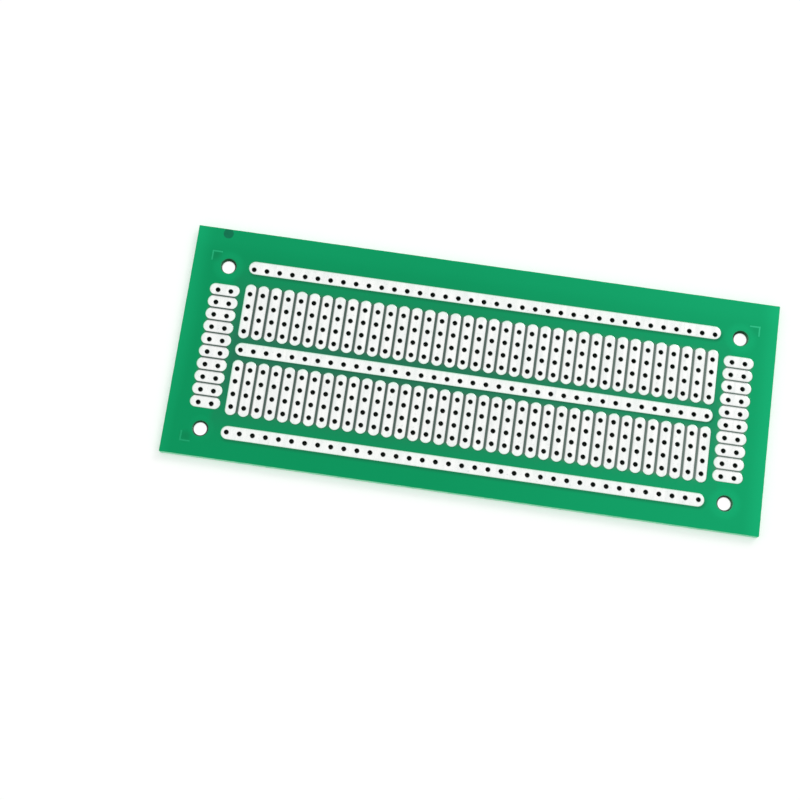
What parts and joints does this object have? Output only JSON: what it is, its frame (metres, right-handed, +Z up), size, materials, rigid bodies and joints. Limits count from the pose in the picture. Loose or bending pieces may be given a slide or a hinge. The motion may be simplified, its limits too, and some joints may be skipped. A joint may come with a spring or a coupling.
{
  "type": "prototype board",
  "caption": "Flat green prototype circuit board with long tinned rails, two banks of short strips, end pads, a grid of lead holes and corner mounting holes.",
  "frame": {"origin": "middle of the board's outline, on its underside", "axes": "+X along the board's length, towards the right in the picture; +Y across it, towards the wider margin; +Z up, out of the tinned face"},
  "size_m": [0.1158, 0.0462, 0.0016],
  "materials": {
    "laminate": "glass-epoxy laminate, pale yellow-green, sheared edges",
    "solder_mask": "green solder mask, satin gloss",
    "tinned_copper": "bright tinned copper, smooth satin",
    "corner_mark": "mask over a copper line, paler and slightly raised",
    "dark_spot": "darker green round spot in the mask"
  },
  "bodies": {
    "root": {"laminate": "laminate", "front_solder_mask": "solder_mask", "back_solder_mask": "solder_mask", "top_rail": "tinned_copper", "middle_rail": "tinned_copper", "bottom_rail": "tinned_copper", "upper_strips": "tinned_copper", "lower_strips": "tinned_copper", "upper_left_corner_mark": "corner_mark", "upper_right_corner_mark": "corner_mark", "lower_left_corner_mark": "corner_mark", "edge_spot": "dark_spot", "left_end_pad_01": "tinned_copper", "left_end_pad_02": "tinned_copper", "left_end_pad_03": "tinned_copper", "left_end_pad_04": "tinned_copper", "left_end_pad_05": "tinned_copper", "left_end_pad_06": "tinned_copper", "left_end_pad_07": "tinned_copper", "left_end_pad_08": "tinned_copper", "left_end_pad_09": "tinned_copper", "left_end_pad_10": "tinned_copper", "right_end_pad_01": "tinned_copper", "right_end_pad_02": "tinned_copper", "right_end_pad_03": "tinned_copper", "right_end_pad_04": "tinned_copper", "right_end_pad_05": "tinned_copper", "right_end_pad_06": "tinned_copper", "right_end_pad_07": "tinned_copper", "right_end_pad_08": "tinned_copper", "right_end_pad_09": "tinned_copper", "right_end_pad_10": "tinned_copper"}
  },
  "joints": []
}
